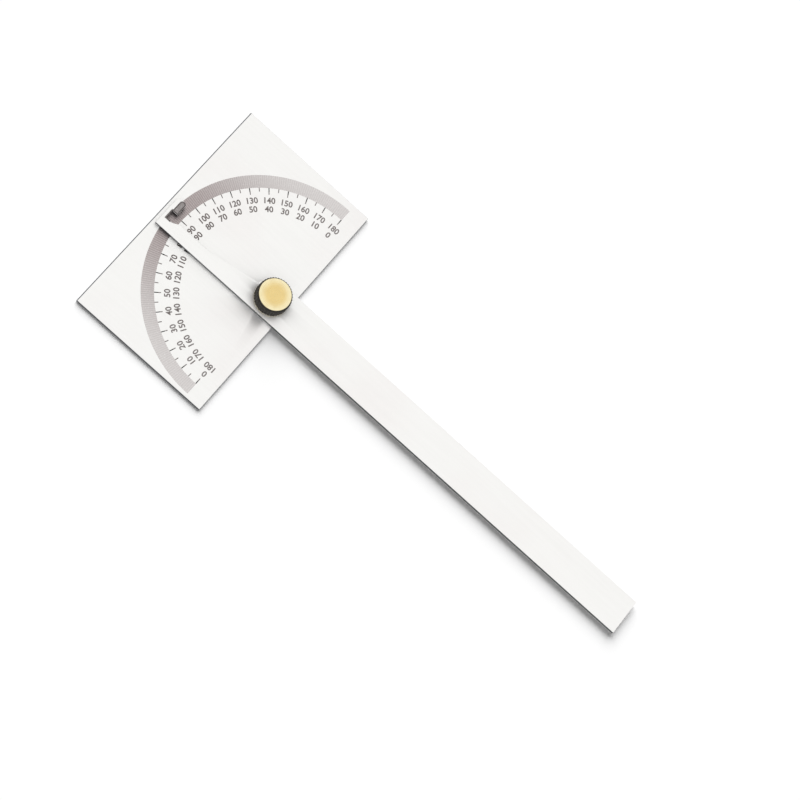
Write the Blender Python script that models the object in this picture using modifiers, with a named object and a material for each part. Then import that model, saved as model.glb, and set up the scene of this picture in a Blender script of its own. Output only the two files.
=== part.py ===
"""A square-head goniometer: a steel head that carries a half-circle scale, an arm with an index
finger that swings over it, and a knurled brass thumb nut that clamps the arm on its pivot stud.

Metres, +Z up. The origin is on the pivot axis, at the back face of the head. +X runs along the
arm to its free end and +Y along the head's long edge. The arm stands at the middle reading.
"""

import math

import bmesh
import bpy
from mathutils import Matrix

MM = 0.001

# Sheet stock, and the play left between stacked faces.
SHEET = 1.2 * MM
PLAY = 0.1 * MM
EDGE_BREAK = 0.12 * MM

# The head: a rectangle with the pivot close to the middle of its +X long edge.
HEAD_FRONT = 6.2 * MM
HEAD_BACK = -44.6 * MM
HEAD_LEFT = 44.2 * MM
HEAD_RIGHT = -43.0 * MM

# The arm: a bar to +X, an eye round the pivot, and a narrow stem that ends in the index finger.
ARM_HALF_WIDTH = 6.6 * MM
ARM_REACH = 152.4 * MM
EYE_END_ANGLE = math.radians(168)
STEM_WAIST = (-24.6 * MM, -2.0 * MM)
STEM_SHOULDER = (-36.9 * MM, -1.95 * MM)
STEM_NECK = (-39.2 * MM, -3.15 * MM)
NOTCH_SIDE_Y = -3.0 * MM
NOTCH_TOP_X = -41.65 * MM
FINGER_FRONT_X = -39.5 * MM
FINGER_TIP_Y = 4.9 * MM
TIP_X = -43.1 * MM
FINGER_CORNER = 1.1 * MM

# The pivot stud: a head with two flats let into the back, a plain shoulder and a thread.
STUD_HEAD_RADIUS = 4.0 * MM
STUD_HEAD_FLAT = 3.4 * MM
STUD_HEAD_THICKNESS = 0.55 * MM
STUD_SHOULDER_RADIUS = 2.45 * MM
STUD_TIP_CHAMFER = 0.35 * MM
SEAT_CLEARANCE = 0.1 * MM
RUNNING_CLEARANCE = 0.05 * MM

# The thread: a ridge on the stud and a slightly larger groove in the nut.
PITCH = 0.7 * MM
THREAD_ROOT = 1.55 * MM
THREAD_CREST = 1.95 * MM
THREAD_ROOT_HALF = 0.25 * MM
THREAD_CREST_HALF = 0.07 * MM
THREAD_CLEARANCE = 0.08 * MM
THREAD_EMBED = 0.1 * MM
THREAD_STEPS = 20
THREAD_TURNS = 5
NUT_BORE_RADIUS = 1.75 * MM

# The clamp washer, held captive by the flared collar of the nut.
WASHER_RADIUS = 5.0 * MM
WASHER_THICKNESS = 0.5 * MM
WASHER_BORE = 3.05 * MM
WASHER_RECESS = 3.4 * MM
WASHER_RECESS_DEPTH = 0.35 * MM
COLLAR_RADIUS = 2.95 * MM
FLARE_RADIUS = 3.25 * MM
FLARE_THICKNESS = 0.15 * MM

# The thumb nut.
NUT_RADIUS = 5.9 * MM
NUT_HEIGHT = 4.8 * MM
NUT_FACE_RADIUS = 5.35 * MM
NUT_RIM_DROP = 0.6 * MM
NUT_FOOT_CHAMFER = 0.35 * MM
NUT_ROOF = 1.0 * MM
KNURL_TEETH = 40
KNURL_DEPTH = 0.28 * MM

ROUND_STEPS = 64

HEAD_TOP = SHEET
ARM_BOTTOM = HEAD_TOP + PLAY
ARM_TOP = ARM_BOTTOM + SHEET
WASHER_BOTTOM = ARM_TOP + PLAY
WASHER_TOP = WASHER_BOTTOM + WASHER_THICKNESS
NUT_BOTTOM = WASHER_TOP + PLAY
NUT_TOP = NUT_BOTTOM + NUT_HEIGHT
NUT_BORE_TOP = NUT_TOP - NUT_ROOF
COLLAR_BOTTOM = WASHER_BOTTOM + PLAY / 2
SHOULDER_TOP = ARM_TOP - PLAY / 2
STUD_TOP = NUT_BORE_TOP - 3 * PLAY
THREAD_START = COLLAR_BOTTOM + 2 * PLAY
CUT_MARGIN = 1.0 * MM


def clear_scene():
    for obj in list(bpy.data.objects):
        bpy.data.objects.remove(obj, do_unlink=True)


def new_collection(name):
    collection = bpy.data.collections.new(name)
    bpy.context.scene.collection.children.link(collection)
    return collection


def metal(name, colour, roughness):
    """A bare metal: one Principled shader with its colour and roughness."""
    material = bpy.data.materials.new(name)
    material.use_nodes = True
    shader = material.node_tree.nodes["Principled BSDF"]
    shader.inputs["Base Color"].default_value = (*colour, 1)
    shader.inputs["Metallic"].default_value = 1
    shader.inputs["Roughness"].default_value = roughness
    material.diffuse_color = (*colour, 1)
    return material


def piece(name, mesh, material):
    """A part of the goniometer, with its own material."""
    mesh.name = name
    mesh.materials.append(material)
    obj = bpy.data.objects.new(name, mesh)
    bpy.data.collections["goniometer"].objects.link(obj)
    return obj


def cutter(name, mesh):
    """A helper that Booleans use, left out of renders."""
    obj = bpy.data.objects.new(name, mesh)
    obj.hide_render = True
    obj.display_type = "WIRE"
    bpy.data.collections["cutters"].objects.link(obj)
    return obj


def evaluated_mesh(obj):
    """The mesh that an object's curve or modifiers make, with its doubles welded and its ends closed."""
    graph = bpy.context.evaluated_depsgraph_get()
    mesh = bpy.data.meshes.new_from_object(obj.evaluated_get(graph))
    bpy.data.objects.remove(obj, do_unlink=True)
    form = bmesh.new()
    form.from_mesh(mesh)
    bmesh.ops.remove_doubles(form, verts=form.verts, dist=0.001 * MM)
    bmesh.ops.holes_fill(form, edges=form.edges, sides=0)
    bmesh.ops.recalc_face_normals(form, faces=form.faces)
    form.to_mesh(mesh)
    form.free()
    return mesh


def prism(outline, low, high):
    """A flat outline in X and Y as a filled solid between two heights."""
    curve = bpy.data.curves.new("outline", "CURVE")
    curve.dimensions = "2D"
    curve.fill_mode = "BOTH"
    curve.extrude = (high - low) / 2
    spline = curve.splines.new("POLY")
    spline.points.add(len(outline) - 1)
    for point, (x, y) in zip(spline.points, outline):
        point.co = (x, y, 0, 1)
    spline.use_cyclic_u = True
    guide = bpy.data.objects.new("outline", curve)
    bpy.context.scene.collection.objects.link(guide)
    mesh = evaluated_mesh(guide)
    mesh.transform(Matrix.Translation((0, 0, (low + high) / 2)))
    return mesh


def box(low, high):
    """A box between two corners."""
    form = bmesh.new()
    bmesh.ops.create_cube(form, size=1)
    size = Matrix.Diagonal([b - a for a, b in zip(low, high)] + [1])
    centre = Matrix.Translation([(a + b) / 2 for a, b in zip(low, high)])
    bmesh.ops.transform(form, matrix=centre @ size, verts=form.verts)
    mesh = bpy.data.meshes.new("box")
    form.to_mesh(mesh)
    form.free()
    return mesh


def turned(profile, steps=ROUND_STEPS, rise=0.0, turns=1, closed=False):
    """A profile of (radius, height) points turned about Z. With a rise it climbs as a helix."""
    mesh = bpy.data.meshes.new("profile")
    count = len(profile)
    edges = [(i, (i + 1) % count) for i in range(count if closed else count - 1)]
    mesh.from_pydata([(radius, 0, height) for radius, height in profile], edges, [])
    guide = bpy.data.objects.new("profile", mesh)
    bpy.context.scene.collection.objects.link(guide)
    screw = guide.modifiers.new("Turn", "SCREW")
    screw.steps = steps
    screw.render_steps = steps
    screw.screw_offset = rise
    screw.iterations = turns
    screw.use_merge_vertices = not rise
    screw.merge_threshold = 0.001 * MM
    return evaluated_mesh(guide)


def arc(centre, radius, start, end, steps):
    """Points along an arc, both ends included."""
    angles = [start + (end - start) * i / steps for i in range(steps + 1)]
    return [(centre[0] + radius * math.cos(a), centre[1] + radius * math.sin(a)) for a in angles]


def combine(obj, operation, tool):
    boolean = obj.modifiers.new(operation.title(), "BOOLEAN")
    boolean.operation = operation
    boolean.solver = "EXACT"
    boolean.object = tool


def break_edges(obj):
    """A small chamfer along every sharp edge."""
    bevel = obj.modifiers.new("Edge break", "BEVEL")
    bevel.width = EDGE_BREAK
    bevel.segments = 1
    bevel.limit_method = "ANGLE"
    bevel.angle_limit = math.radians(40)


def shade_round(obj):
    obj.data.shade_smooth()
    obj.data.set_sharp_from_angle(angle=math.radians(30))


def flatted_disc(radius, flat):
    """A round outline with two flats across X."""
    half = math.acos(flat / radius)
    steps = ROUND_STEPS // 4
    top = arc((0, 0), radius, half, math.pi - half, steps)
    return top + [(-x, -y) for x, y in top]


def thread_ridge(clearance, start, turns):
    """The helical ridge of the thread, or with a clearance the groove that it runs in."""
    slope = (THREAD_ROOT_HALF - THREAD_CREST_HALF) / (THREAD_CREST - THREAD_ROOT)
    inner = THREAD_ROOT - THREAD_EMBED
    outer = THREAD_CREST + clearance
    profile = []
    for radius, side in ((inner, -1), (outer, -1), (outer, 1), (inner, 1)):
        half = THREAD_ROOT_HALF + clearance - slope * (radius - THREAD_ROOT)
        profile.append((radius, start + side * half))
    return turned(profile, THREAD_STEPS, rise=PITCH, turns=turns, closed=True)


def make_head():
    steel = metal("head_steel", (0.86, 0.85, 0.84), 0.34)
    head = piece("head_plate", box((HEAD_BACK, HEAD_RIGHT, 0), (HEAD_FRONT, HEAD_LEFT, HEAD_TOP)), steel)
    break_edges(head)
    hole_radius = STUD_SHOULDER_RADIUS + SEAT_CLEARANCE
    hole = turned(((0, HEAD_TOP + CUT_MARGIN), (hole_radius, HEAD_TOP + CUT_MARGIN),
                   (hole_radius, -CUT_MARGIN), (0, -CUT_MARGIN)))
    combine(head, "DIFFERENCE", cutter("head_hole", hole))
    seat = flatted_disc(STUD_HEAD_RADIUS + SEAT_CLEARANCE, STUD_HEAD_FLAT + SEAT_CLEARANCE)
    depth = STUD_HEAD_THICKNESS + SEAT_CLEARANCE
    combine(head, "DIFFERENCE", cutter("stud_head_seat", prism(seat, -CUT_MARGIN, depth)))


def arm_outline():
    """The arm seen from above, round its edge from the free end."""
    corner = FINGER_CORNER
    bar = [(ARM_REACH, -ARM_HALF_WIDTH), (ARM_REACH, ARM_HALF_WIDTH)]
    eye = arc((0, 0), ARM_HALF_WIDTH, math.pi / 2, EYE_END_ANGLE, 14)
    stem = [STEM_WAIST, STEM_SHOULDER, STEM_NECK, (NOTCH_TOP_X, NOTCH_SIDE_Y)]
    index = [(NOTCH_TOP_X, 0), (FINGER_FRONT_X, 0)]
    tip_y = FINGER_TIP_Y - corner
    finger = arc((FINGER_FRONT_X - corner, tip_y), corner, 0, math.pi / 2, 5)
    finger += arc((TIP_X + corner, tip_y), corner, math.pi / 2, math.pi, 5)
    return bar + eye + stem + index + finger + [(TIP_X, -ARM_HALF_WIDTH)]


def make_arm():
    steel = metal("arm_steel", (0.88, 0.87, 0.86), 0.32)
    arm = piece("arm", prism(arm_outline(), ARM_BOTTOM, ARM_TOP), steel)
    break_edges(arm)
    radius = STUD_SHOULDER_RADIUS + RUNNING_CLEARANCE
    eye_hole = turned(((0, ARM_TOP + CUT_MARGIN), (radius, ARM_TOP + CUT_MARGIN),
                       (radius, ARM_BOTTOM - CUT_MARGIN), (0, ARM_BOTTOM - CUT_MARGIN)))
    combine(arm, "DIFFERENCE", cutter("eye_hole", eye_hole))


def make_stud():
    steel = metal("stud_steel", (0.62, 0.62, 0.63), 0.3)
    outline = flatted_disc(STUD_HEAD_RADIUS, STUD_HEAD_FLAT)
    stud = piece("pivot_stud", prism(outline, 0, STUD_HEAD_THICKNESS), steel)
    shank = turned(((0, STUD_TOP), (THREAD_ROOT - STUD_TIP_CHAMFER, STUD_TOP),
                    (THREAD_ROOT, STUD_TOP - STUD_TIP_CHAMFER), (THREAD_ROOT, SHOULDER_TOP),
                    (STUD_SHOULDER_RADIUS, SHOULDER_TOP),
                    (STUD_SHOULDER_RADIUS, STUD_HEAD_THICKNESS / 2), (0, STUD_HEAD_THICKNESS / 2)))
    combine(stud, "UNION", cutter("stud_shank", shank))
    ridge = thread_ridge(0, THREAD_START + THREAD_ROOT_HALF, THREAD_TURNS)
    combine(stud, "UNION", cutter("stud_thread", ridge))


def make_washer():
    steel = metal("washer_steel", (0.7, 0.7, 0.7), 0.3)
    ledge = WASHER_BOTTOM + WASHER_RECESS_DEPTH
    profile = ((WASHER_RADIUS, WASHER_TOP), (WASHER_RADIUS, WASHER_BOTTOM), (WASHER_RECESS, WASHER_BOTTOM),
               (WASHER_RECESS, ledge), (WASHER_BORE, ledge), (WASHER_BORE, WASHER_TOP))
    washer = piece("clamp_washer", turned(profile, closed=True), steel)
    shade_round(washer)


def knurl_outline():
    """A star whose points are the teeth of the knurl."""
    count = 2 * KNURL_TEETH
    points = []
    for i in range(count):
        radius = NUT_RADIUS - KNURL_DEPTH * (i % 2)
        angle = 2 * math.pi * i / count
        points.append((radius * math.cos(angle), radius * math.sin(angle)))
    return points


def make_nut():
    brass = metal("nut_brass", (0.83, 0.66, 0.33), 0.28)
    foot = NUT_RADIUS - NUT_FOOT_CHAMFER
    flare_top = COLLAR_BOTTOM + FLARE_THICKNESS
    profile = ((0, NUT_TOP), (NUT_FACE_RADIUS, NUT_TOP), (NUT_RADIUS, NUT_TOP - NUT_RIM_DROP),
               (NUT_RADIUS, NUT_BOTTOM + NUT_FOOT_CHAMFER), (foot, NUT_BOTTOM), (COLLAR_RADIUS, NUT_BOTTOM),
               (COLLAR_RADIUS, flare_top), (FLARE_RADIUS, flare_top), (FLARE_RADIUS, COLLAR_BOTTOM),
               (THREAD_CREST + THREAD_CLEARANCE, COLLAR_BOTTOM),
               (NUT_BORE_RADIUS, COLLAR_BOTTOM + PITCH / 2), (NUT_BORE_RADIUS, NUT_BORE_TOP),
               (0, NUT_BORE_TOP))
    nut = piece("thumb_nut", turned(profile, steps=2 * KNURL_TEETH), brass)
    knurl = prism(knurl_outline(), WASHER_BOTTOM - CUT_MARGIN, NUT_TOP + CUT_MARGIN)
    combine(nut, "INTERSECT", cutter("knurl", knurl))
    start = THREAD_START + THREAD_ROOT_HALF - PITCH
    combine(nut, "DIFFERENCE", cutter("nut_thread", thread_ridge(THREAD_CLEARANCE, start, THREAD_TURNS + 1)))
    shade_round(nut)


def main():
    clear_scene()
    new_collection("goniometer")
    new_collection("cutters").hide_render = True
    make_head()
    make_arm()
    make_stud()
    make_washer()
    make_nut()


main()
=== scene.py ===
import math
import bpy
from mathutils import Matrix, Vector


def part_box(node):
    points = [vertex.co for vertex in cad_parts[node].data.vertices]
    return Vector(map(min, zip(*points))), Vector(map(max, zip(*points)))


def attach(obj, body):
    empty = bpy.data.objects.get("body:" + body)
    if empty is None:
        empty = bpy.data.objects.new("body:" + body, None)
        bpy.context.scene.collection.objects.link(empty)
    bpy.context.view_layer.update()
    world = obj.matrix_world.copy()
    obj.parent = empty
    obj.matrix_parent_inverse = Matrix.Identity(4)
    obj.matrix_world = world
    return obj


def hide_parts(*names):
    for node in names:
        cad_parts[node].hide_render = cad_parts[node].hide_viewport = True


bl_info = {
    "name": "Square-head goniometer",
    "version": (1, 0, 0),
    "blender": (4, 5, 0),
    "location": "3D View > Sidebar > Goniometer",
    "description": "Finishes, graduations and turned parts of a square-head goniometer",
    "category": "Add Mesh",
}

import bmesh
import bpy
from bpy.props import FloatProperty, FloatVectorProperty, IntProperty, PointerProperty
from mathutils import Matrix, Vector

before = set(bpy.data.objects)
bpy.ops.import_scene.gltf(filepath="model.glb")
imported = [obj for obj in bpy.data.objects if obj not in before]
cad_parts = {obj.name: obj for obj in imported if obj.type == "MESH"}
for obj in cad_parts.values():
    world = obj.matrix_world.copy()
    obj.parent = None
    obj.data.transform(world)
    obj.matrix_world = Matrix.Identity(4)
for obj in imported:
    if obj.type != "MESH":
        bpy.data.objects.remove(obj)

MM = 0.001

HEAD_LOW, HEAD_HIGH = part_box("head_plate")
ARM_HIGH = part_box("arm")[1]
NUT_LOW, NUT_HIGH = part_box("thumb_nut")
WASHER_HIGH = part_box("clamp_washer")[1]

# Width of the painted shade, a dark band along the head's -X edge, and how softly it ends.
MINUS_X_EDGE_SHADE = 0.38 * MM
MINUS_X_SHADE_FADE = 0.14 * MM

# The dark line, painted shade along the notch's edges and an outline round the finger, runs this far outside
# the notch and this far inside the finger's outline.
INDEX_WIDTH = 0.42 * MM
INDEX_SIDE = 0.26 * MM
NOTCH_SIDE = -3.22 * MM
NOTCH_TOP = -41.88 * MM
FINGER_FRONT = -39.75 * MM
FINGER_CREASE = -41.5 * MM
FINGER_TIP = 4.64 * MM
FINGER_BEND = 0.8 * MM

# How much the floor glows to the camera and in reflections, on top of the light that falls on it.
FLOOR_GLOW = 0.07

# Where the sun stands, as a direction from the tool.
KEY_FROM = Vector((-1.3, 1.7, 1.85))

# The nut's profile, which follows the solid that it replaces.
NUT_PLAY = 0.1 * MM
RIM_DROP = 0.6 * MM
FOOT_CHAMFER = 0.35 * MM
COLLAR_RADIUS = 2.95 * MM
KNURL_ROW = 0.25 * MM


class DialSettings(bpy.types.PropertyGroup):
    """The printed half-circle scale on the head."""

    band_outer: FloatProperty(
        name="Band outer radius",
        description="Where the one-degree lines end",
        default=41.7 * MM,
        unit="LENGTH",
    )
    band_inner: FloatProperty(
        name="Band inner radius",
        description="Where the one-degree lines start",
        default=37.4 * MM,
        unit="LENGTH",
    )
    line_width: FloatProperty(
        name="Fine line width",
        description="Width of a one-degree line",
        default=0.3 * MM,
        unit="LENGTH",
    )
    tick_width: FloatProperty(
        name="Tick width",
        description="Width of the five and ten degree ticks",
        default=0.3 * MM,
        unit="LENGTH",
    )
    five_length: FloatProperty(
        name="Five degree tick",
        description="How far a five-degree tick reaches in from the band",
        default=1.25 * MM,
        unit="LENGTH",
    )
    ten_length: FloatProperty(
        name="Ten degree tick",
        description="How far a ten-degree tick reaches in from the band",
        default=2.2 * MM,
        unit="LENGTH",
    )
    outer_row: FloatProperty(
        name="Outer number radius",
        description="Radius through the middle of the outer row of numbers",
        default=33.1 * MM,
        unit="LENGTH",
    )
    inner_row: FloatProperty(
        name="Inner number radius",
        description="Radius through the middle of the inner row of numbers",
        default=30.2 * MM,
        unit="LENGTH",
    )
    digit_height: FloatProperty(
        name="Digit height",
        description="Height of one printed digit",
        default=1.95 * MM,
        unit="LENGTH",
    )
    digit_weight: FloatProperty(
        name="Digit weight",
        description="How much each stroke of a digit is thickened on either side",
        default=0.07 * MM,
        unit="LENGTH",
    )
    wear: FloatProperty(
        name="Wear",
        description="How much of the band's print is gone at the ends of the scale",
        default=0.5,
        min=0,
        max=1,
        subtype="FACTOR",
    )
    digit_ink: FloatVectorProperty(
        name="Digit ink",
        description="Colour of the printed numbers and ticks",
        subtype="COLOR",
        size=3,
        min=0,
        max=1,
        default=(0.13, 0.108, 0.104),
    )
    line_ink: FloatVectorProperty(
        name="Line ink",
        description="Colour of the one-degree lines at the middle of the scale",
        subtype="COLOR",
        size=3,
        min=0,
        max=1,
        default=(0.31, 0.262, 0.256),
    )
    tint_ink: FloatVectorProperty(
        name="Band tint",
        description="Colour of the pale print behind the one-degree lines",
        subtype="COLOR",
        size=3,
        min=0,
        max=1,
        default=(0.44, 0.382, 0.376),
    )
    finger_ink: FloatVectorProperty(
        name="Finger face",
        description="Colour of the greyed face of the index finger",
        subtype="COLOR",
        size=3,
        min=0,
        max=1,
        default=(0.27, 0.248, 0.242),
    )
    # A dark line: painted shade along the notch's edges and an outline round the finger.
    index_ink: FloatVectorProperty(
        name="Index line",
        description="Colour of the blackened line round the index finger",
        subtype="COLOR",
        size=3,
        min=0,
        max=1,
        default=(0.1, 0.086, 0.083),
    )


class SteelSettings(bpy.types.PropertyGroup):
    """The stainless sheet of the head and the arm."""

    face: FloatVectorProperty(
        name="Face",
        description="Colour of the brushed sheet",
        subtype="COLOR",
        size=3,
        min=0,
        max=1,
        default=(0.94, 0.934, 0.916),
    )
    blush: FloatVectorProperty(
        name="Blush",
        description="Faint warm tint of the sheet's broad patches",
        subtype="COLOR",
        size=3,
        min=0,
        max=1,
        default=(0.925, 0.903, 0.888),
    )
    # Sheared edges, painted darker as the shade and dark reflection on the walls.
    cut_edge: FloatVectorProperty(
        name="Cut edge",
        description="Colour of the sheared edges",
        subtype="COLOR",
        size=3,
        min=0,
        max=1,
        default=(0.16, 0.165, 0.175),
    )
    roughness: FloatProperty(
        name="Roughness",
        description="Roughness of the brushed faces",
        default=0.48,
        min=0,
        max=1,
        subtype="FACTOR",
    )


class NutSettings(bpy.types.PropertyGroup):
    """The knurled thumb nut."""

    teeth: IntProperty(
        name="Knurl teeth",
        description="Number of teeth round the nut",
        default=40,
        min=8,
    )
    knurl_depth: FloatProperty(
        name="Knurl depth",
        description="Depth of the valleys between the teeth",
        default=0.28 * MM,
        unit="LENGTH",
    )
    face_radius: FloatProperty(
        name="Face radius",
        description="Radius of the bright turned top face",
        default=5.35 * MM,
        unit="LENGTH",
    )
    brass: FloatVectorProperty(
        name="Brass",
        description="Colour of the turned top face",
        subtype="COLOR",
        size=3,
        min=0,
        max=1,
        default=(0.86, 0.66, 0.29),
    )
    # Painted highlight: the ring round the top face is lighter, standing for its reflection.
    brass_rim: FloatVectorProperty(
        name="Polished brass",
        description="Colour of the polished ring round the top face",
        subtype="COLOR",
        size=3,
        min=0,
        max=1,
        default=(0.97, 0.9, 0.62),
    )
    # Painted shade: the knurled side and the chamfer are near-black, standing for their shade and dark
    # reflections.
    patina: FloatVectorProperty(
        name="Patina",
        description="Colour of the dark knurled side",
        subtype="COLOR",
        size=3,
        min=0,
        max=1,
        default=(0.014, 0.011, 0.008),
    )


class StageSettings(bpy.types.PropertyGroup):
    """The floor, the lights and the camera."""

    distance: FloatProperty(
        name="Camera distance",
        description="From the camera to the point that it looks at",
        default=830.6 * MM,
        unit="LENGTH",
    )
    azimuth: FloatProperty(
        name="Azimuth",
        description="Where the camera stands round the object: 0 looks along +Y",
        default=math.radians(-11.2),
        subtype="ANGLE",
    )
    elevation: FloatProperty(
        name="Elevation",
        description="How high the camera stands",
        default=math.radians(67.23),
        subtype="ANGLE",
    )
    roll: FloatProperty(
        name="Roll",
        description="How far the camera is turned about its own axis",
        default=math.radians(52.32),
        subtype="ANGLE",
    )
    target: FloatVectorProperty(
        name="Target",
        description="The point that the camera looks at",
        subtype="TRANSLATION",
        size=3,
        default=(52.15 * MM, 4.94 * MM, 0),
    )
    lens: FloatProperty(
        name="Lens",
        description="Focal length in millimetres on a 36 mm sensor",
        default=117.0,
        min=1,
    )
    fill: FloatProperty(
        name="Fill",
        description="Strength of the even white surroundings on plain surfaces",
        default=0.14,
        min=0,
    )
    key: FloatProperty(
        name="Key",
        description="Strength of the sun",
        default=4.0,
        min=0,
    )
    key_width: FloatProperty(
        name="Key width",
        description="How wide the sun looks from the tool",
        default=math.radians(60),
        subtype="ANGLE",
    )


def settings(name):
    return getattr(bpy.context.scene, "goniometer_" + name)


# ---------------------------------------------------------------- node helpers


def wire(tree, kind, inputs=None, **fields):
    """A node with its fields set and its inputs given as values or as sockets to link from."""
    node = tree.nodes.new(kind)
    for field, value in fields.items():
        setattr(node, field, value)
    for key, value in (inputs or {}).items():
        if isinstance(value, bpy.types.NodeSocket):
            tree.links.new(value, node.inputs[key])
        else:
            node.inputs[key].default_value = value
    return node


def maths(tree, operation, *values):
    node = wire(tree, "ShaderNodeMath", dict(enumerate(values)), operation=operation)
    return node.outputs["Value"]


def ramp(tree, factor, low, high, out_low=0.0, out_high=1.0):
    """A smooth step of a value between two limits."""
    inputs = {"Value": factor, "From Min": low, "From Max": high, "To Min": out_low, "To Max": out_high}
    return wire(tree, "ShaderNodeMapRange", inputs, interpolation_type="SMOOTHSTEP").outputs["Result"]


def blend_colours(tree, factor, first, second):
    """Two colours, each a triple or a socket, mixed by a factor."""
    pair = [c if isinstance(c, bpy.types.NodeSocket) else (*c, 1) for c in (first, second)]
    node = wire(tree, "ShaderNodeMix", data_type="RGBA")
    sockets = ((node.inputs["Factor"], factor), (node.inputs["A"], None), (node.inputs["B"], None))
    for socket, value in sockets:
        if value is not None:
            tree.links.new(value, socket)
    colour_sockets = [s for s in node.inputs if s.type == "RGBA"]
    for socket, value in zip(colour_sockets, pair):
        if isinstance(value, bpy.types.NodeSocket):
            tree.links.new(value, socket)
        else:
            socket.default_value = value
    return next(s for s in node.outputs if s.type == "RGBA")


def seen_or_mirrored(tree):
    """One for what is seen directly, mirrored or through glass, and nought for light on surfaces."""
    rays = wire(tree, "ShaderNodeLightPath").outputs
    straight = maths(tree, "MAXIMUM", rays["Is Camera Ray"], rays["Is Glossy Ray"])
    return maths(tree, "MAXIMUM", straight, rays["Is Transmission Ray"])


def new_material(name):
    """A material with a Principled shader, and the sockets of its Object coordinates."""
    material = bpy.data.materials.new(name)
    material.use_nodes = True
    tree = material.node_tree
    shader = tree.nodes["Principled BSDF"]
    place = wire(tree, "ShaderNodeTexCoord")
    return material, tree, shader, place


def noise(tree, place, scale, stretch=(1, 1, 1), detail=3.0):
    """Noise on the Object coordinates, stretched where a grain runs one way."""
    mapped = wire(tree, "ShaderNodeMapping", {"Vector": place.outputs["Object"], "Scale": stretch})
    inputs = {"Vector": mapped.outputs["Vector"], "Scale": scale, "Detail": detail}
    return wire(tree, "ShaderNodeTexNoise", inputs).outputs["Fac"]


def radius_of(tree, place):
    """The distance of a surface point from the pivot axis."""
    inputs = {0: place.outputs["Object"], 1: (1, 1, 0)}
    flat = wire(tree, "ShaderNodeVectorMath", inputs, operation="MULTIPLY")
    length = wire(tree, "ShaderNodeVectorMath", {0: flat.outputs["Vector"]}, operation="LENGTH")
    return length.outputs["Value"]


def height_of(tree, place):
    return wire(tree, "ShaderNodeSeparateXYZ", {0: place.outputs["Object"]}).outputs["Z"]


def facing_up(tree, place):
    """How far a surface faces up or down, from 0 on a wall to 1 on a face."""
    z = wire(tree, "ShaderNodeSeparateXYZ", {0: place.outputs["Normal"]}).outputs["Z"]
    return wire(tree, "ShaderNodeMath", {0: z}, operation="ABSOLUTE").outputs["Value"]


def bump(tree, shader, height, strength, distance):
    node = wire(tree, "ShaderNodeBump", {"Height": height, "Strength": strength, "Distance": distance})
    tree.links.new(node.outputs["Normal"], shader.inputs["Normal"])


# ---------------------------------------------------------------- materials


def lathe_rings(tree, place, scale):
    """Noise that changes only with radius and height, like the marks that a lathe leaves."""
    across = wire(tree, "ShaderNodeCombineXYZ", {0: radius_of(tree, place), 1: height_of(tree, place)})
    inputs = {"Vector": across.outputs[0], "Scale": scale, "Detail": 2.0}
    return wire(tree, "ShaderNodeTexNoise", inputs).outputs["Fac"]


def brushed_steel(name, grain, minus_x_shaded_to=None):
    """Stainless sheet: fine brushing along one way, faint warm patches, and sheared edges painted dark as
    shade and dark reflection on the walls.

    With minus_x_shaded_to, painted shade darkens the face as well from its -X edge up to that X.
    """
    steel = settings("steel")
    material, tree, shader, place = new_material(name)
    shader.inputs["Metallic"].default_value = 1
    fine = noise(tree, place, 900, grain, 4.0)
    broad = noise(tree, place, 34, (1, 1, 1), 2.0)
    patches = ramp(tree, broad, 0.42, 0.72, 0.0, 0.9)
    face = blend_colours(tree, patches, steel.face, steel.blush)
    streaks = ramp(tree, fine, 0.35, 0.65, 0.0, 0.16)
    grained = blend_colours(tree, streaks, face, [c * 0.93 for c in steel.face])
    # Walls take the edge colour: sheared edges with painted shade.
    on_face = ramp(tree, facing_up(tree, place), 0.45, 0.9)
    # Painted shade: a dark band along the -X edge, in the edge colour.
    if minus_x_shaded_to is not None:
        along = wire(tree, "ShaderNodeSeparateXYZ", {0: place.outputs["Object"]}).outputs["X"]
        clear = ramp(tree, along, minus_x_shaded_to - MINUS_X_SHADE_FADE, minus_x_shaded_to)
        on_face = maths(tree, "MULTIPLY", on_face, clear)
    tree.links.new(blend_colours(tree, on_face, steel.cut_edge, grained), shader.inputs["Base Color"])
    satin = ramp(tree, fine, 0.2, 0.8, steel.roughness - 0.03, steel.roughness + 0.04)
    tree.links.new(satin, shader.inputs["Roughness"])
    bump(tree, shader, fine, 0.06, 0.02 * MM)
    return material


def turned_metal(name, colour, roughness):
    """Bare metal with the fine rings that a lathe leaves."""
    material, tree, shader, place = new_material(name)
    shader.inputs["Metallic"].default_value = 1
    rings = noise(tree, place, 500, (1, 1, 1), 3.0)
    fine = lathe_rings(tree, place, 9000)
    tone = blend_colours(tree, ramp(tree, rings, 0.3, 0.7), colour, [c * 0.86 for c in colour])
    tree.links.new(tone, shader.inputs["Base Color"])
    tree.links.new(ramp(tree, fine, 0.3, 0.7, roughness - 0.05, roughness + 0.08), shader.inputs["Roughness"])
    bump(tree, shader, fine, 0.2, 0.01 * MM)
    return material


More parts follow.
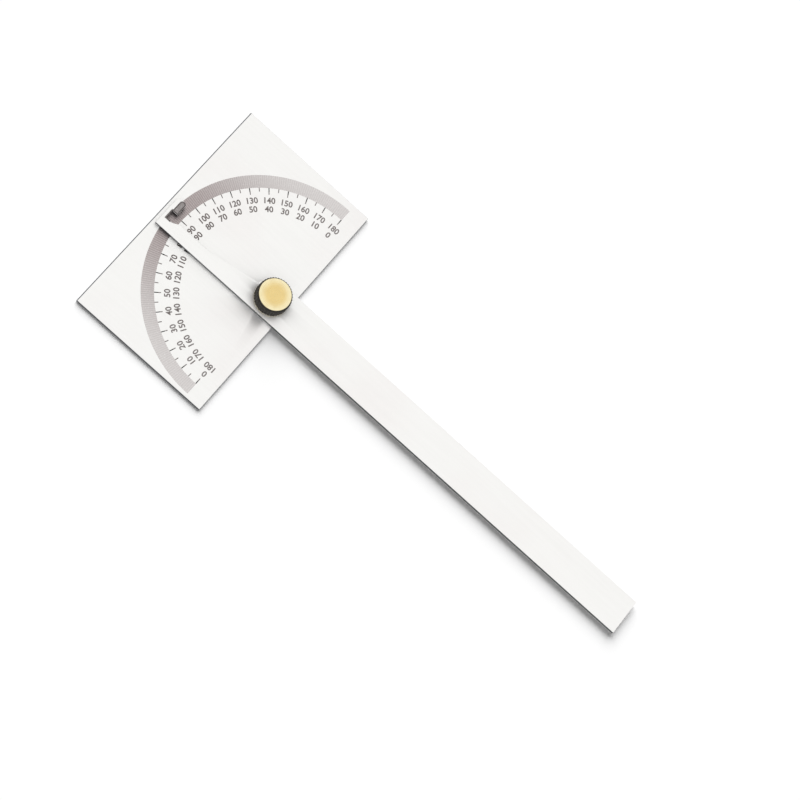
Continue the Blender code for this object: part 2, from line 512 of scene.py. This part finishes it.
def nut_metal():
    """Brass: a turned face with a painted highlight round its edge, and painted shade on the knurl and the
    chamfer.
    """
    nut = settings("nut")
    material, tree, shader, place = new_material("nut_brass")
    shader.inputs["Metallic"].default_value = 1
    radius = radius_of(tree, place)
    rings = lathe_rings(tree, place, 6500)
    cloud = noise(tree, place, 420, (1, 1, 1), 2.0)
    # Painted highlight, lighter towards the edge of the top face.
    rim_highlight = ramp(tree, radius, 0.45 * nut.face_radius, 0.98 * nut.face_radius, 0.0, 0.75)
    face = blend_colours(tree, rim_highlight, nut.brass, nut.brass_rim)
    mottled = blend_colours(tree, ramp(tree, cloud, 0.35, 0.7, 0.0, 0.3), face, [c * 0.85 for c in nut.brass])
    # Sides and chamfer take the painted shade, with a few flecks of brass, and are not metallic.
    on_face = ramp(tree, facing_up(tree, place), 0.93, 0.99)
    worn = ramp(tree, noise(tree, place, 1500), 0.5, 0.8, 0.0, 0.12)
    side = blend_colours(tree, worn, nut.patina, [c * 0.3 for c in nut.brass])
    tree.links.new(blend_colours(tree, on_face, side, mottled), shader.inputs["Base Color"])
    tree.links.new(on_face, shader.inputs["Metallic"])
    polished = ramp(tree, rings, 0.3, 0.7, 0.24, 0.36)
    dull = ramp(tree, on_face, 0.0, 1.0, 0.42, 0.0)
    tree.links.new(maths(tree, "ADD", polished, dull), shader.inputs["Roughness"])
    bump(tree, shader, rings, 0.25, 0.01 * MM)
    return material


def printed_ink(name, colour, wear):
    """Print that is darkest at the middle of the scale and worn paler, by a share, at its ends."""
    reach = settings("dial").band_outer
    material, tree, shader, place = new_material(name)
    across = wire(tree, "ShaderNodeSeparateXYZ", {0: place.outputs["Object"]}).outputs["Y"]
    away = maths(tree, "ABSOLUTE", across)
    ends = ramp(tree, away, 0.1 * reach, reach, 0.0, wear)
    specks = ramp(tree, noise(tree, place, 2600, (1, 1, 1), 3.0), 0.5, 0.75, 0.0, 0.2)
    both = wire(tree, "ShaderNodeMath", {0: ends, 1: specks}, operation="ADD", use_clamp=True)
    worn = both.outputs["Value"]
    tree.links.new(blend_colours(tree, worn, colour, settings("steel").face), shader.inputs["Base Color"])
    shader.inputs["Roughness"].default_value = 0.55
    bump(tree, shader, specks, 0.1, 0.005 * MM)
    return material


# ---------------------------------------------------------------- mesh helpers


def link(name, mesh, material=None):
    obj = bpy.data.objects.new(name, mesh)
    if material:
        mesh.materials.append(material)
    bpy.context.scene.collection.objects.link(obj)
    return obj


def bake_modifiers(obj, name, material):
    """The object's evaluated mesh as a plain new object, closed and facing out."""
    graph = bpy.context.evaluated_depsgraph_get()
    mesh = bpy.data.meshes.new_from_object(obj.evaluated_get(graph))
    bpy.data.objects.remove(obj)
    form = bmesh.new()
    form.from_mesh(mesh)
    bmesh.ops.remove_doubles(form, verts=form.verts, dist=0.0005 * MM)
    bmesh.ops.recalc_face_normals(form, faces=form.faces)
    form.to_mesh(mesh)
    form.free()
    mesh.materials.clear()
    mesh.name = name
    return link(name, mesh, material)


def lathe(name, profile, steps):
    """A closed solid turned about Z from (radius, height) points that start and end on the axis."""
    form = bmesh.new()
    rows = []
    for radius, height in profile:
        if radius == 0:
            rows.append([form.verts.new((0, 0, height))])
            continue
        angles = [2 * math.pi * i / steps for i in range(steps)]
        rows.append([form.verts.new((radius * math.cos(a), radius * math.sin(a), height)) for a in angles])
    for upper, lower in zip(rows, rows[1:]):
        for i in range(steps):
            j = (i + 1) % steps
            corners = [
                upper[i % len(upper)], lower[i % len(lower)],
                lower[j % len(lower)], upper[j % len(upper)],
            ]
            form.faces.new(list(dict.fromkeys(corners)))
    bmesh.ops.recalc_face_normals(form, faces=form.faces)
    mesh = bpy.data.meshes.new(name)
    form.to_mesh(mesh)
    form.free()
    return link(name, mesh)


def sector(name, inner, outer, thickness, material):
    """The half ring of the scale's band, a thin closed solid half let into the head's face."""
    form = bmesh.new()
    rings = []
    for step in range(181):
        angle = SCALE_START + step * DEGREE
        along = Vector((math.cos(angle), math.sin(angle), 0))
        section = []
        for radius, side in ((inner, -1), (outer, -1), (outer, 1), (inner, 1)):
            level = Vector((0, 0, INK_HEIGHT + side * thickness / 2))
            section.append(form.verts.new(along * radius + level))
        rings.append(section)
    for first, second in zip(rings, rings[1:]):
        for i in range(4):
            j = (i + 1) % 4
            form.faces.new((first[i], first[j], second[j], second[i]))
    form.faces.new(rings[0])
    form.faces.new(rings[-1])
    bmesh.ops.recalc_face_normals(form, faces=form.faces)
    mesh = bpy.data.meshes.new(name)
    form.to_mesh(mesh)
    form.free()
    return link(name, mesh, material)


def ribbon(form, path, width, height, thickness, cyclic=False):
    """Adds a flat stroke of even width that follows a path in X and Y."""
    count = len(path)
    points = [Vector((x, y, 0)) for x, y in path]
    sections = []
    for i, point in enumerate(points):
        before = points[i - 1] if cyclic or i else None
        after = points[(i + 1) % count] if cyclic or i < count - 1 else None
        legs = ((before, point), (point, after))
        ways = [(end - start).normalized() for start, end in legs if start is not None and end is not None]
        along = sum(ways, Vector()).normalized()
        aside = Vector((-along.y, along.x, 0))
        half = aside * (width / 2) / max(0.5, along.dot(ways[0]))
        section = []
        for side, level in ((-1, -1), (1, -1), (1, 1), (-1, 1)):
            lift = Vector((0, 0, height + level * thickness / 2))
            section.append(form.verts.new(point + half * side + lift))
        sections.append(section)
    pairs = list(zip(sections, sections[1:] + sections[:1])) if cyclic else list(zip(sections, sections[1:]))
    for first, second in pairs:
        for i in range(4):
            j = (i + 1) % 4
            form.faces.new((first[i], first[j], second[j], second[i]))
    if not cyclic:
        form.faces.new(sections[0])
        form.faces.new(sections[-1])


def plate(name, path, height, thickness, material):
    """A thin flat solid inside a closed path in X and Y."""
    form = bmesh.new()
    low = [form.verts.new((x, y, height - thickness / 2)) for x, y in path]
    high = [form.verts.new((x, y, height + thickness / 2)) for x, y in path]
    form.faces.new(low)
    form.faces.new(high)
    for i in range(len(path)):
        j = (i + 1) % len(path)
        form.faces.new((low[i], low[j], high[j], high[i]))
    bmesh.ops.recalc_face_normals(form, faces=form.faces)
    mesh = bpy.data.meshes.new(name)
    form.to_mesh(mesh)
    form.free()
    return link(name, mesh, material)


def fillet(corner, before, after, radius, steps=4):
    """Points that round one corner of a profile."""
    corner, before, after = Vector(corner), Vector(before), Vector(after)
    start = corner + (before - corner).normalized() * radius
    end = corner + (after - corner).normalized() * radius
    points = []
    for i in range(steps + 1):
        t = i / steps
        points.append(tuple(start * (1 - t) ** 2 + corner * 2 * t * (1 - t) + end * t ** 2))
    return points


def round_profile(points, radius):
    """A profile with every inner corner rounded."""
    rounded = [points[0]]
    for before, corner, after in zip(points, points[1:], points[2:]):
        rounded += fillet(corner, before, after, radius)
    return rounded + [points[-1]]


def with_rows(profile, spacing):
    """The profile with extra rows wherever it climbs further than the spacing."""
    rows = [profile[0]]
    for last, point in zip(profile, profile[1:]):
        parts = max(1, int(abs(last[1] - point[1]) / spacing))
        for i in range(1, parts + 1):
            t = i / parts
            rows.append((last[0] + (point[0] - last[0]) * t, last[1] + (point[1] - last[1]) * t))
    return rows


def softened_copy(node, width, material):
    """The CAD node's shape with its edges rounded, in place of the node."""
    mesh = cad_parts[node].data.copy()
    form = bmesh.new()
    form.from_mesh(mesh)
    bmesh.ops.remove_doubles(form, verts=form.verts, dist=0.002 * MM)
    bmesh.ops.dissolve_limit(form, angle_limit=math.radians(1), verts=form.verts, edges=form.edges)
    form.to_mesh(mesh)
    form.free()
    mesh.materials.clear()
    obj = link(node + "_soft", mesh)
    bevel = obj.modifiers.new("Soft edge", "BEVEL")
    bevel.width = width
    bevel.segments = 2
    bevel.limit_method = "ANGLE"
    bevel.angle_limit = math.radians(30)
    bevel.use_clamp_overlap = True
    return bake_modifiers(obj, node + "_soft", material)


def shade(obj, degrees=35):
    obj.data.shade_smooth()
    obj.data.set_sharp_from_angle(angle=math.radians(degrees))


def finish_piece(obj, body, slot, *nodes):
    """Attaches a finished piece to its body and hides the CAD nodes that it stands for; the slot is not used.
    """
    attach(obj, body)
    if nodes:
        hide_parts(*nodes)


def coat_node(node, material):
    """Gives a CAD node that stays in view a new material."""
    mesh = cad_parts[node].data
    mesh.materials.clear()
    mesh.materials.append(material)


# ---------------------------------------------------------------- Geometry Nodes


def new_tree(name, sockets):
    """A Geometry Nodes tree with a geometry input and output and named inputs."""
    tree = bpy.data.node_groups.new(name, "GeometryNodeTree")
    tree.interface.new_socket("Geometry", in_out="OUTPUT", socket_type="NodeSocketGeometry")
    tree.interface.new_socket("Geometry", in_out="INPUT", socket_type="NodeSocketGeometry")
    for label, kind in sockets:
        tree.interface.new_socket(label, in_out="INPUT", socket_type="NodeSocket" + kind)
    start = tree.nodes.new("NodeGroupInput")
    end = tree.nodes.new("NodeGroupOutput")
    return tree, start.outputs, end.inputs["Geometry"]


def run_tree(obj, tree, values):
    """Puts the tree on an object, with each input set by its socket's identifier."""
    modifier = obj.modifiers.new(tree.name, "NODES")
    modifier.node_group = tree
    sockets = {s.name: s.identifier for s in tree.interface.items_tree if s.item_type == "SOCKET"}
    for label, value in values.items():
        modifier[sockets[label]] = value
    obj.update_tag()


def end_tree(tree, geometry, material, end):
    """Every tree ends in Realize Instances and Set Material."""
    real = wire(tree, "GeometryNodeRealizeInstances", {"Geometry": geometry})
    inputs = {"Geometry": real.outputs["Geometry"], "Material": material}
    painted = wire(tree, "GeometryNodeSetMaterial", inputs)
    tree.links.new(painted.outputs["Geometry"], end)


def graduation_tree():
    """Thin printed lines along radii, a fixed angle apart."""
    tree, given, end = new_tree("Graduations", (
        ("Count", "Int"), ("First Angle", "Float"), ("Step", "Float"), ("Inner Radius", "Float"),
        ("Outer Radius", "Float"), ("Width", "Float"), ("Base Height", "Float"), ("Thickness", "Float"),
        ("Material", "Material"),
    ))
    length = maths(tree, "SUBTRACT", given["Outer Radius"], given["Inner Radius"])
    size = wire(tree, "ShaderNodeCombineXYZ", {0: length, 1: given["Width"], 2: given["Thickness"]})
    middle = maths(tree, "MULTIPLY", maths(tree, "ADD", given["Outer Radius"], given["Inner Radius"]), 0.5)
    place = wire(tree, "ShaderNodeCombineXYZ", {0: middle, 2: given["Base Height"]})
    line = wire(tree, "GeometryNodeMeshCube", {"Size": size.outputs[0]})
    inputs = {"Geometry": line.outputs["Mesh"], "Translation": place.outputs[0]}
    moved = wire(tree, "GeometryNodeTransform", inputs)
    points = wire(tree, "GeometryNodeMeshLine", {"Count": given["Count"], "Offset": (0, 0, 0)})
    index = wire(tree, "GeometryNodeInputIndex").outputs[0]
    angle = maths(tree, "ADD", maths(tree, "MULTIPLY", index, given["Step"]), given["First Angle"])
    turn = wire(tree, "ShaderNodeCombineXYZ", {2: angle})
    inputs = {
        "Points": points.outputs["Mesh"],
        "Instance": moved.outputs["Geometry"],
        "Rotation": turn.outputs[0],
    }
    copies = wire(tree, "GeometryNodeInstanceOnPoints", inputs)
    end_tree(tree, copies.outputs["Instances"], given["Material"], end)
    return tree


def knurl_tree():
    """Cuts straight V teeth into the side of a turned body, between two heights."""
    tree, given, end = new_tree("Knurl", (
        ("Teeth", "Int"), ("Depth", "Float"), ("Least Radius", "Float"), ("Low", "Float"), ("High", "Float"),
        ("Run Out", "Float"), ("Material", "Material"),
    ))
    where = wire(tree, "GeometryNodeInputPosition").outputs[0]
    axes = wire(tree, "ShaderNodeSeparateXYZ", {0: where}).outputs
    turns = maths(tree, "DIVIDE", maths(tree, "ARCTAN2", axes["Y"], axes["X"]), 2 * math.pi)
    phase = maths(tree, "MULTIPLY", turns, given["Teeth"])
    wave = maths(tree, "PINGPONG", phase, 0.5)
    valley = maths(tree, "MULTIPLY", wave, 2.0)
    flat = wire(tree, "ShaderNodeCombineXYZ", {0: axes["X"], 1: axes["Y"]}).outputs[0]
    radius = wire(tree, "ShaderNodeVectorMath", {0: flat}, operation="LENGTH").outputs["Value"]
    rise = maths(tree, "DIVIDE", maths(tree, "SUBTRACT", axes["Z"], given["Low"]), given["Run Out"])
    fall = maths(tree, "DIVIDE", maths(tree, "SUBTRACT", given["High"], axes["Z"]), given["Run Out"])
    side = maths(tree, "GREATER_THAN", radius, given["Least Radius"])
    inside = maths(tree, "MINIMUM", maths(tree, "MINIMUM", rise, fall), 1.0)
    inside = maths(tree, "MULTIPLY", maths(tree, "MAXIMUM", inside, 0.0), side)
    cut = maths(tree, "MULTIPLY", maths(tree, "MULTIPLY", inside, valley), given["Depth"])
    unit = wire(tree, "ShaderNodeVectorMath", {0: flat}, operation="NORMALIZE").outputs["Vector"]
    inwards = maths(tree, "MULTIPLY", cut, -1.0)
    shift = wire(tree, "ShaderNodeVectorMath", {0: unit, "Scale": inwards}, operation="SCALE")
    inputs = {"Geometry": given["Geometry"], "Offset": shift.outputs["Vector"]}
    moved = wire(tree, "GeometryNodeSetPosition", inputs)
    end_tree(tree, moved.outputs["Geometry"], given["Material"], end)
    return tree


# ---------------------------------------------------------------- operators


INK_THICKNESS = 0.03 * MM
TINT_THICKNESS = 0.016 * MM
INK_HEIGHT = HEAD_HIGH.z
SCALE_START = math.radians(90)
DEGREE = math.radians(1)


class GONIOMETER_OT_steel_parts(bpy.types.Operator):
    """Finish the head, the arm and the washer as stainless sheet."""

    bl_idname = "goniometer.steel_parts"
    bl_label = "Steel head, arm and washer"

    def execute(self, context):
        # The head's steel carries painted shade along its -X edge.
        head_steel = brushed_steel("head_steel", (0.06, 1.0, 1.0), HEAD_LOW.x + MINUS_X_EDGE_SHADE)
        arm_steel = brushed_steel("arm_steel", (0.05, 1.0, 1.0))
        for node, body, slot, material in (
            ("head_plate", "head", "head_steel", head_steel),
            ("arm", "arm", "arm_steel", arm_steel),
        ):
            piece = softened_copy(node, 0.05 * MM, material)
            shade(piece)
            finish_piece(piece, body, slot, node)
        coat_node("clamp_washer", turned_metal("washer_steel", (0.55, 0.55, 0.56), 0.32))
        return {"FINISHED"}


class GONIOMETER_OT_graduations(bpy.types.Operator):
    """Print the one, five and ten degree lines on the head."""

    bl_idname = "goniometer.graduations"
    bl_label = "Graduations"

    def execute(self, context):
        dial = settings("dial")
        tree = graduation_tree()
        lines = printed_ink("line_ink", dial.line_ink, dial.wear)
        ticks = printed_ink("digit_ink", dial.digit_ink, 0.08)
        edge = dial.band_inner
        kinds = (
            ("degree_lines", 1, edge, dial.band_outer, dial.line_width, lines),
            ("five_degree_ticks", 5, edge - dial.five_length, edge, dial.tick_width, ticks),
            ("ten_degree_ticks", 10, edge - dial.ten_length, edge, dial.tick_width, ticks),
        )
        tint = printed_ink("tint_ink", dial.tint_ink, dial.wear)
        band = sector("band_tint", dial.band_inner, dial.band_outer, TINT_THICKNESS, tint)
        finish_piece(band, "head", "head_steel")
        for name, step, inner, outer, width, ink in kinds:
            seed = link(name, bpy.data.meshes.new(name))
            run_tree(seed, tree, {
                "Count": 180 // step + 1,
                "First Angle": SCALE_START,
                "Step": step * DEGREE,
                "Inner Radius": inner,
                "Outer Radius": outer,
                "Width": width,
                "Base Height": INK_HEIGHT,
                "Thickness": INK_THICKNESS,
                "Material": ink,
            })
            finish_piece(bake_modifiers(seed, name, ink), "head", "head_steel")
        return {"FINISHED"}


class GONIOMETER_OT_numbers(bpy.types.Operator):
    """Print the two rows of numbers."""

    bl_idname = "goniometer.numbers"
    bl_label = "Numbers"

    def execute(self, context):
        dial = settings("dial")
        ink = bpy.data.materials["digit_ink"]
        for row, radius in (("outer", dial.outer_row), ("inner", dial.inner_row)):
            form = bmesh.new()
            for mark in range(0, 181, 10):
                value = mark if row == "outer" else 180 - mark
                self.add_number(form, str(value), radius, math.radians(270 - mark))
            mesh = bpy.data.meshes.new(row + "_numbers")
            form.to_mesh(mesh)
            form.free()
            finish_piece(link(row + "_numbers", mesh, ink), "head", "head_steel")
        return {"FINISHED"}

    def add_number(self, form, text, radius, angle):
        """One number, its top away from the pivot."""
        dial = settings("dial")
        curve = bpy.data.curves.new("number", "FONT")
        curve.body = text
        curve.align_x = "CENTER"
        curve.align_y = "CENTER"
        curve.resolution_u = 3
        curve.size = dial.digit_height / 0.7
        curve.offset = dial.digit_weight
        curve.extrude = INK_THICKNESS / 2
        guide = link("number", curve)
        graph = bpy.context.evaluated_depsgraph_get()
        mesh = bpy.data.meshes.new_from_object(guide.evaluated_get(graph))
        bpy.data.objects.remove(guide)
        place = Matrix.Translation((radius * math.cos(angle), radius * math.sin(angle), INK_HEIGHT))
        mesh.transform(place @ Matrix.Rotation(angle - math.pi / 2, 4, "Z"))
        number = bmesh.new()
        number.from_mesh(mesh)
        bmesh.ops.remove_doubles(number, verts=number.verts, dist=0.0005 * MM)
        number.to_mesh(mesh)
        number.free()
        form.from_mesh(mesh)


class GONIOMETER_OT_index_line(bpy.types.Operator):
    """Draw the dark line round the index finger and the painted shade along its notch, and grey the finger's
    face.
    """

    bl_idname = "goniometer.index_line"
    bl_label = "Index line"

    def execute(self, context):
        dial = settings("dial")
        bend = FINGER_BEND
        notch = [
            (FINGER_FRONT, NOTCH_SIDE), (NOTCH_TOP, NOTCH_SIDE),
            (NOTCH_TOP, INDEX_SIDE), (FINGER_CREASE, INDEX_SIDE),
        ]
        finger = [(FINGER_CREASE, INDEX_SIDE), (FINGER_FRONT, INDEX_SIDE)]
        for centre_x, start in ((FINGER_FRONT - bend, 0.0), (FINGER_CREASE + bend, math.pi / 2)):
            for step in range(5):
                angle = start + math.pi / 2 * step / 4
                finger.append((centre_x + bend * math.cos(angle), FINGER_TIP - bend + bend * math.sin(angle)))
        form = bmesh.new()
        # Painted shade along the notch's edges.
        ribbon(form, notch, INDEX_WIDTH, ARM_HIGH.z, INK_THICKNESS)
        ribbon(form, finger, INDEX_WIDTH, ARM_HIGH.z, INK_THICKNESS, cyclic=True)
        bmesh.ops.recalc_face_normals(form, faces=form.faces)
        mesh = bpy.data.meshes.new("index_line")
        form.to_mesh(mesh)
        form.free()
        ink = printed_ink("index_ink", dial.index_ink, 0.0)
        finish_piece(link("index_line", mesh, ink), "arm", "arm_steel")
        greyed = printed_ink("finger_ink", dial.finger_ink, 0.0)
        face = plate("finger_face", finger, ARM_HIGH.z, TINT_THICKNESS, greyed)
        finish_piece(face, "arm", "arm_steel")
        return {"FINISHED"}


class GONIOMETER_OT_thumb_nut(bpy.types.Operator):
    """Turn and knurl the brass thumb nut."""

    bl_idname = "goniometer.thumb_nut"
    bl_label = "Thumb nut"

    def execute(self, context):
        nut = settings("nut")
        radius = NUT_HIGH.x
        top = NUT_HIGH.z
        foot = WASHER_HIGH.z + NUT_PLAY
        outline = [
            (0, top), (nut.face_radius, top), (radius, top - RIM_DROP), (radius, foot + FOOT_CHAMFER),
            (radius - FOOT_CHAMFER, foot), (COLLAR_RADIUS, foot), (COLLAR_RADIUS, NUT_LOW.z), (0, NUT_LOW.z),
        ]
        profile = with_rows(round_profile(outline, 0.12 * MM), KNURL_ROW)
        body = lathe("thumb_nut_body", profile, nut.teeth * 8)
        brass = nut_metal()
        run_tree(body, knurl_tree(), {
            "Teeth": nut.teeth,
            "Depth": nut.knurl_depth,
            "Least Radius": radius - 0.5 * MM,
            "Low": foot + 0.1 * MM,
            "High": top - 0.25 * MM,
            "Run Out": 0.45 * MM,
            "Material": brass,
        })
        piece = bake_modifiers(body, "thumb_nut_turned", brass)
        shade(piece, 28)
        finish_piece(piece, "nut", "nut_brass", "thumb_nut")
        return {"FINISHED"}


class GONIOMETER_OT_stud(bpy.types.Operator):
    """Finish the pivot stud."""

    bl_idname = "goniometer.stud"
    bl_label = "Pivot stud"

    def execute(self, context):
        coat_node("pivot_stud", turned_metal("stud_steel", (0.5, 0.5, 0.51), 0.3))
        return {"FINISHED"}


class GONIOMETER_OT_stage(bpy.types.Operator):
    """Set the floor, the lights and the camera."""

    bl_idname = "goniometer.stage"
    bl_label = "Stage"

    def execute(self, context):
        view = context.scene.view_settings
        view.view_transform = "Standard"
        self.floor()
        self.surroundings(context.scene)
        self.key_light()
        self.camera(context.scene)
        return {"FINISHED"}

    def floor(self):
        mesh = bpy.data.meshes.new("floor")
        form = bmesh.new()
        bmesh.ops.create_grid(form, x_segments=1, y_segments=1, size=3.0)
        bmesh.ops.translate(form, vec=(0, 0, HEAD_LOW.z - 0.05 * MM), verts=form.verts)
        form.to_mesh(mesh)
        form.free()
        material = bpy.data.materials.new("floor_paper")
        material.use_nodes = True
        tree = material.node_tree
        shader = tree.nodes["Principled BSDF"]
        shader.inputs["Base Color"].default_value = (0.98, 0.98, 0.98, 1)
        shader.inputs["Roughness"].default_value = 0.9
        shader.inputs["Specular IOR Level"].default_value = 0
        glow = maths(tree, "MULTIPLY", seen_or_mirrored(tree), FLOOR_GLOW)
        tree.links.new(glow, shader.inputs["Emission Strength"])
        shader.inputs["Emission Color"].default_value = (1, 1, 1, 1)
        link("floor", mesh, material)

    def surroundings(self, scene):
        """An even white room: full white to the camera and in reflections, and a fill on plain surfaces."""
        world = bpy.data.worlds.new("white_room")
        scene.world = world
        world.use_nodes = True
        tree = world.node_tree
        fill = settings("stage").fill
        strength = maths(tree, "ADD", maths(tree, "MULTIPLY", seen_or_mirrored(tree), 1.0 - fill), fill)
        background = tree.nodes["Background"]
        background.inputs["Color"].default_value = (1, 1, 1, 1)
        tree.links.new(strength, background.inputs["Strength"])

    def key_light(self):
        """A broad sun, low on the side of -X and +Y, that lights every part of the tool alike."""
        stage = settings("stage")
        light = bpy.data.lights.new("key", "SUN")
        light.energy = stage.key
        light.angle = stage.key_width
        obj = bpy.data.objects.new("key", light)
        bpy.context.scene.collection.objects.link(obj)
        obj.rotation_euler = (-KEY_FROM).to_track_quat("-Z", "Y").to_euler()
        obj.visible_glossy = False

    def camera(self, scene):
        stage = settings("stage")
        lens = bpy.data.cameras.new("camera")
        lens.lens = stage.lens
        lens.sensor_width = 36
        lens.clip_start = 0.01
        camera = bpy.data.objects.new("camera", lens)
        scene.collection.objects.link(camera)
        flat = math.cos(stage.elevation)
        turn = stage.azimuth
        back = Vector((math.sin(turn) * flat, -math.cos(turn) * flat, math.sin(stage.elevation)))
        level = Vector((0, 0, 1)).cross(back).normalized()
        up = back.cross(level)
        right = level * math.cos(stage.roll) + up * math.sin(stage.roll)
        turned_up = back.cross(right)
        pose = Matrix((right, turned_up, back)).transposed().to_4x4()
        pose.translation = Vector(stage.target) + back * stage.distance
        camera.matrix_world = pose
        scene.camera = camera


class GONIOMETER_PT_sidebar(bpy.types.Panel):
    """Lists the goniometer's pieces and their sizes."""

    bl_idname = "GONIOMETER_PT_sidebar"
    bl_label = "Goniometer"
    bl_space_type = "VIEW_3D"
    bl_region_type = "UI"
    bl_category = "Goniometer"

    def draw(self, context):
        for operator in OPERATORS:
            self.layout.operator(operator.bl_idname)
        for name, kind in GROUPS.items():
            box = self.layout.box()
            box.label(text=name.title())
            for field in kind.__annotations__:
                box.prop(settings(name), field)


GROUPS = {"dial": DialSettings, "steel": SteelSettings, "nut": NutSettings, "stage": StageSettings}
OPERATORS = (
    GONIOMETER_OT_stage,
    GONIOMETER_OT_steel_parts,
    GONIOMETER_OT_graduations,
    GONIOMETER_OT_numbers,
    GONIOMETER_OT_index_line,
    GONIOMETER_OT_thumb_nut,
    GONIOMETER_OT_stud,
)


def register():
    for kind in (*GROUPS.values(), *OPERATORS, GONIOMETER_PT_sidebar):
        bpy.utils.register_class(kind)
    for name, kind in GROUPS.items():
        setattr(bpy.types.Scene, "goniometer_" + name, PointerProperty(type=kind))


def unregister():
    for name in GROUPS:
        delattr(bpy.types.Scene, "goniometer_" + name)
    for kind in (GONIOMETER_PT_sidebar, *reversed(OPERATORS), *GROUPS.values()):
        bpy.utils.unregister_class(kind)


def corners(bounds):
    return [list(corner) for corner in bounds]


def main():
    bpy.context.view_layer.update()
    register()
    bpy.ops.goniometer.stage()
    bpy.ops.goniometer.steel_parts()
    bpy.ops.goniometer.graduations()
    bpy.ops.goniometer.numbers()
    bpy.ops.goniometer.index_line()
    bpy.ops.goniometer.thumb_nut()
    bpy.ops.goniometer.stud()


if __name__ == "__main__":
    main()
